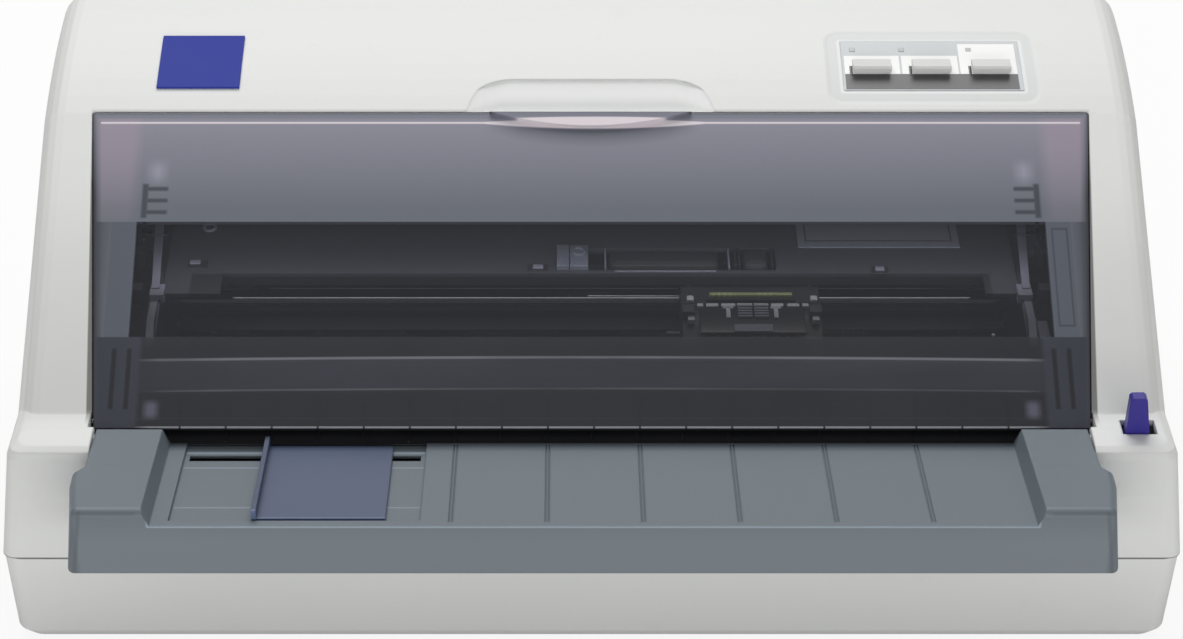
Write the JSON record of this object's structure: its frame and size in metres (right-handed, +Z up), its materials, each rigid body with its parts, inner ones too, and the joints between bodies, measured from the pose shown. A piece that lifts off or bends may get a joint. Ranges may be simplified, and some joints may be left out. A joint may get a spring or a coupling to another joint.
{
  "type": "dot matrix printer",
  "caption": "Flatbed dot matrix printer with a forward-swinging smoked cover, a front paper tray with a sliding edge guide, and its roller feed and print carriage inside.",
  "frame": {"origin": "on the desk plane, under the middle of the printer's bounding box", "axes": "+X to the printer's right seen from the front, +Y to its back, +Z up"},
  "size_m": [0.468, 0.27, 0.174],
  "materials": {
    "case_plastic": "matte",
    "tray_plastic": "matte",
    "smoked_plastic": "gloss",
    "dark_plastic": "matte",
    "guide_plastic": "matte",
    "lever_plastic": "satin",
    "badge_film": "satin",
    "panel_film": "matte",
    "button_plastic": "matte",
    "gear_plastic": "matte",
    "board_laminate": "satin",
    "paper_board": "satin",
    "steel": "brushed",
    "motor_metal": "satin",
    "head_metal": "satin",
    "rubber": "matte"
  },
  "bodies": {
    "chassis": {"lower_case": "case_plastic", "rubber_feet": "rubber", "case_screws": "steel", "base_frame": "steel", "left_side_frame": "steel", "right_side_frame": "steel", "upper_case": "case_plastic", "badge_plate": "badge_film", "panel_label": "panel_film", "panel_board": "board_laminate", "front_tray": "tray_plastic", "lower_paper_guide": "dark_plastic", "front_rail": "dark_plastic", "inner_cover": "dark_plastic", "guide_shaft": "steel", "timing_belt": "rubber", "carriage_motor": "motor_metal", "feed_motor": "motor_metal", "main_board": "board_laminate", "power_supply": "paper_board", "ac_inlet": "dark_plastic", "parallel_port": "steel", "usb_port": "steel", "switch_body": "dark_plastic", "cover_hinge_pins": "steel", "gear_posts": "steel", "shaft_bushings": "gear_plastic", "tractor_rod": "steel"},
    "cover": {"top_cover": "smoked_plastic"},
    "edge_guide": {"edge_guide": "guide_plastic"},
    "release_lever": {"release_lever": "lever_plastic"},
    "feed_button": {"feed_button": "button_plastic"},
    "load_button": {"load_button": "button_plastic"},
    "pause_button": {"pause_button": "button_plastic"},
    "power_switch": {"power_switch": "dark_plastic"},
    "carriage": {"carriage": "dark_plastic", "print_head": "head_metal", "head_board": "board_laminate"},
    "platen": {"platen_roller": "rubber", "platen_shaft": "steel", "platen_gear": "gear_plastic"},
    "front_feed": {"front_feed_shaft": "steel", "front_feed_tyres": "rubber"},
    "rear_feed": {"rear_feed_shaft": "steel", "rear_feed_tyres": "rubber"},
    "front_pressure": {"front_pressure_shaft": "steel", "front_pressure_tyres": "rubber"},
    "rear_pressure": {"rear_pressure_shaft": "steel", "rear_pressure_tyres": "rubber"},
    "front_idler": {"front_idler_gear": "gear_plastic"},
    "rear_idler": {"rear_idler_gear": "gear_plastic"},
    "motor_pinion": {"motor_pinion": "steel"},
    "tractor_idler": {"tractor_idler_gear": "gear_plastic"},
    "tractor_drive": {"tractor_shaft": "steel"},
    "left_tractor": {"left_tractor": "dark_plastic"},
    "right_tractor": {"right_tractor": "dark_plastic"},
    "left_sprocket": {"left_sprocket": "gear_plastic"},
    "right_sprocket": {"right_sprocket": "gear_plastic"},
    "drive_pulley": {"drive_pulley": "gear_plastic"},
    "idler_pulley": {"idler_pulley": "gear_plastic"}
  },
  "joints": [
    {"name": "cover_hinge", "type": "hinge", "parent": "chassis", "child": "cover", "pos_m": [0, -0.06656, 0.09532], "axis": [1, 0, 0], "range_deg": [0, 90]},
    {"name": "edge_guide_slide", "type": "slide", "parent": "chassis", "child": "edge_guide", "axis": [1, 0, 0], "range_m": [-0.03, 0.012]},
    {"name": "release_lever_tilt", "type": "hinge", "parent": "chassis", "child": "release_lever", "pos_m": [0.211, -0.0749, 0.064], "axis": [-1, 0, 0], "range_deg": [0, 6]},
    {"name": "feed_press", "type": "slide", "parent": "chassis", "child": "feed_button", "axis": [0, 0.2091, -0.9779], "range_m": [0, 0.001], "stiffness_N_per_m": 300, "springref_m": -0.001},
    {"name": "load_press", "type": "slide", "parent": "chassis", "child": "load_button", "axis": [0, 0.2091, -0.9779], "range_m": [0, 0.001], "stiffness_N_per_m": 300, "springref_m": -0.001},
    {"name": "pause_press", "type": "slide", "parent": "chassis", "child": "pause_button", "axis": [0, 0.2091, -0.9779], "range_m": [0, 0.001], "stiffness_N_per_m": 300, "springref_m": -0.001},
    {"name": "power_switch_rock", "type": "hinge", "parent": "chassis", "child": "power_switch", "pos_m": [0.197, 0.127, 0.025], "axis": [1, 0, 0], "range_deg": [0, 14]},
    {"name": "carriage_slide", "type": "slide", "parent": "chassis", "child": "carriage", "axis": [1, 0, 0], "range_m": [-0.194, 0.072]},
    {"name": "platen_turn", "type": "hinge", "parent": "chassis", "child": "platen", "pos_m": [0, -0.0129, 0.06208], "axis": [1, 0, 0], "continuous": true},
    {"name": "left_tractor_slide", "type": "slide", "parent": "chassis", "child": "left_tractor", "axis": [1, 0, 0], "range_m": [-0.008, 0.03]},
    {"name": "right_tractor_slide", "type": "slide", "parent": "chassis", "child": "right_tractor", "axis": [-1, 0, 0], "range_m": [-0.008, 0.03]},
    {"name": "front_feed_turn", "type": "hinge", "parent": "chassis", "child": "front_feed", "pos_m": [0, -0.04739, 0.07592], "axis": [1, 0, 0], "continuous": true},
    {"name": "rear_feed_turn", "type": "hinge", "parent": "chassis", "child": "rear_feed", "pos_m": [0, 0.02426, 0.06199], "axis": [1, 0, 0], "continuous": true},
    {"name": "front_pressure_turn", "type": "hinge", "parent": "chassis", "child": "front_pressure", "pos_m": [0, -0.04484, 0.08907], "axis": [1, 0, 0], "continuous": true},
    {"name": "rear_pressure_turn", "type": "hinge", "parent": "chassis", "child": "rear_pressure", "pos_m": [0, 0.02682, 0.07514], "axis": [1, 0, 0], "continuous": true},
    {"name": "front_idler_turn", "type": "hinge", "parent": "chassis", "child": "front_idler", "pos_m": [-0.187, -0.03572, 0.06498], "axis": [1, 0, 0], "continuous": true},
    {"name": "rear_idler_turn", "type": "hinge", "parent": "chassis", "child": "rear_idler", "pos_m": [-0.187, 0.00934, 0.05622], "axis": [1, 0, 0], "continuous": true},
    {"name": "motor_pinion_turn", "type": "hinge", "parent": "chassis", "child": "motor_pinion", "pos_m": [-0.187, -0.02008, 0.04235], "axis": [1, 0, 0], "continuous": true},
    {"name": "tractor_idler_turn", "type": "hinge", "parent": "chassis", "child": "tractor_idler", "pos_m": [-0.187, 0.04962, 0.04898], "axis": [1, 0, 0], "continuous": true},
    {"name": "tractor_drive_turn", "type": "hinge", "parent": "chassis", "child": "tractor_drive", "pos_m": [0, 0.0821, 0.04769], "axis": [1, 0, 0], "continuous": true},
    {"name": "left_sprocket_turn", "type": "hinge", "parent": "left_tractor", "child": "left_sprocket", "pos_m": [-0.14, 0.0821, 0.04769], "axis": [1, 0, 0], "continuous": true},
    {"name": "right_sprocket_turn", "type": "hinge", "parent": "right_tractor", "child": "right_sprocket", "pos_m": [0.14, 0.0821, 0.04769], "axis": [1, 0, 0], "continuous": true},
    {"name": "drive_pulley_turn", "type": "hinge", "parent": "chassis", "child": "drive_pulley", "pos_m": [-0.152, 0.034, 0.092], "axis": [0, 1, 0], "range_deg": [-2000, 1000]},
    {"name": "idler_pulley_turn", "type": "hinge", "parent": "chassis", "child": "idler_pulley", "pos_m": [0.163, 0.034, 0.092], "axis": [0, 1, 0], "range_deg": [-2000, 1000]}
  ],
  "couplings": [
    {"joint": "front_feed_turn", "follows": "platen_turn", "ratio": 1.875},
    {"joint": "rear_feed_turn", "follows": "platen_turn", "ratio": 1.875},
    {"joint": "front_pressure_turn", "follows": "platen_turn", "ratio": -3},
    {"joint": "rear_pressure_turn", "follows": "platen_turn", "ratio": -3},
    {"joint": "front_idler_turn", "follows": "platen_turn", "ratio": -1.875},
    {"joint": "rear_idler_turn", "follows": "platen_turn", "ratio": -1.875},
    {"joint": "motor_pinion_turn", "follows": "platen_turn", "ratio": -2.5},
    {"joint": "tractor_idler_turn", "follows": "platen_turn", "ratio": -0.73171},
    {"joint": "tractor_drive_turn", "follows": "platen_turn", "ratio": 1.25},
    {"joint": "left_sprocket_turn", "follows": "platen_turn", "ratio": 1.25},
    {"joint": "right_sprocket_turn", "follows": "platen_turn", "ratio": 1.25},
    {"joint": "drive_pulley_turn", "follows": "carriage_slide", "rad_per_m": 125},
    {"joint": "idler_pulley_turn", "follows": "carriage_slide", "rad_per_m": 125}
  ]
}
